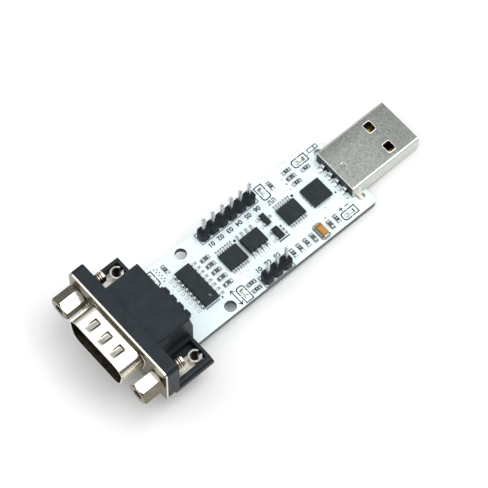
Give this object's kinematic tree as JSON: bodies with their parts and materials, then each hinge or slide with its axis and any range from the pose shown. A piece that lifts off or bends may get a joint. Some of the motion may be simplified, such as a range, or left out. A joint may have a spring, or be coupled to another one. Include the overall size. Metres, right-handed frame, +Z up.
{
  "type": "usb to serial adapter module",
  "caption": "Slim circuit board adapter with a D-shaped serial connector at one end, a USB plug at the other, pin headers along its edges and surface-mounted chips and lamps between.",
  "frame": {"origin": "under the middle of the whole module, at the tips of the board locks", "axes": "+X along the module from the D connector to the USB plug, +Y across it towards the long pin header, +Z up out of the board's component side"},
  "size_m": [0.0846, 0.0308, 0.0173],
  "materials": {
    "solder_mask_laminate": "white solder mask on glass laminate, semi-gloss",
    "black_moulding": "black moulded thermoplastic, satin",
    "header_moulding": "black moulded header with plated pins",
    "bright_nickel_steel": "bright nickel plate",
    "satin_nickel_steel": "satin nickel plate, fine grain",
    "tinned_spring_strip": "bright tin plate",
    "gold_plated_contact": "thin gold plate on copper alloy",
    "resistor_chip": "black coated chip with tinned ends",
    "ceramic_chip": "brown ceramic chip with tinned ends",
    "lamp_resin": "clear and pale yellow resin",
    "tantalum_resin": "orange moulded resin with a dark band",
    "chip_epoxy": "black moulded epoxy with tinned leads"
  },
  "bodies": {
    "root": {"board": "solder_mask_laminate", "board_lock_left": "tinned_spring_strip", "board_lock_right": "tinned_spring_strip", "bus_driver_chip": "chip_epoxy", "bus_header": "header_moulding", "capacitor_edge": "ceramic_chip", "capacitor_pump_1": "ceramic_chip", "capacitor_pump_2": "ceramic_chip", "capacitor_pump_3": "ceramic_chip", "capacitor_pump_4": "ceramic_chip", "capacitor_pump_5": "ceramic_chip", "capacitor_supply": "ceramic_chip", "capacitor_usb": "ceramic_chip", "dsub_housing": "black_moulding", "dsub_pin_1": "gold_plated_contact", "dsub_pin_2": "gold_plated_contact", "dsub_pin_3": "gold_plated_contact", "dsub_pin_4": "gold_plated_contact", "dsub_pin_5": "gold_plated_contact", "dsub_pin_6": "gold_plated_contact", "dsub_pin_7": "gold_plated_contact", "dsub_pin_8": "gold_plated_contact", "dsub_pin_9": "gold_plated_contact", "dsub_shell": "bright_nickel_steel", "jack_screw_left": "bright_nickel_steel", "jack_screw_right": "bright_nickel_steel", "led_bus": "lamp_resin", "led_logic": "lamp_resin", "led_power": "lamp_resin", "led_serial": "lamp_resin", "led_usb": "lamp_resin", "line_driver_chip": "chip_epoxy", "logic_chip_1": "chip_epoxy", "logic_chip_2": "chip_epoxy", "logic_header": "header_moulding", "pin_spacer": "black_moulding", "regulator": "chip_epoxy", "resistor_bus_bias": "resistor_chip", "resistor_edge_1": "resistor_chip", "resistor_edge_2": "resistor_chip", "resistor_edge_3": "resistor_chip", "resistor_led_bus": "resistor_chip", "resistor_led_logic": "resistor_chip", "resistor_led_power": "resistor_chip", "resistor_led_serial": "resistor_chip", "resistor_led_usb": "resistor_chip", "resistor_usb_lower": "resistor_chip", "resistor_usb_upper": "resistor_chip", "tantalum_capacitor": "tantalum_resin", "transistor": "chip_epoxy", "usb_bridge_chip": "chip_epoxy", "usb_contact_1": "gold_plated_contact", "usb_contact_2": "gold_plated_contact", "usb_contact_3": "gold_plated_contact", "usb_contact_4": "gold_plated_contact", "usb_insulator": "black_moulding", "usb_shell": "satin_nickel_steel"}
  },
  "joints": []
}
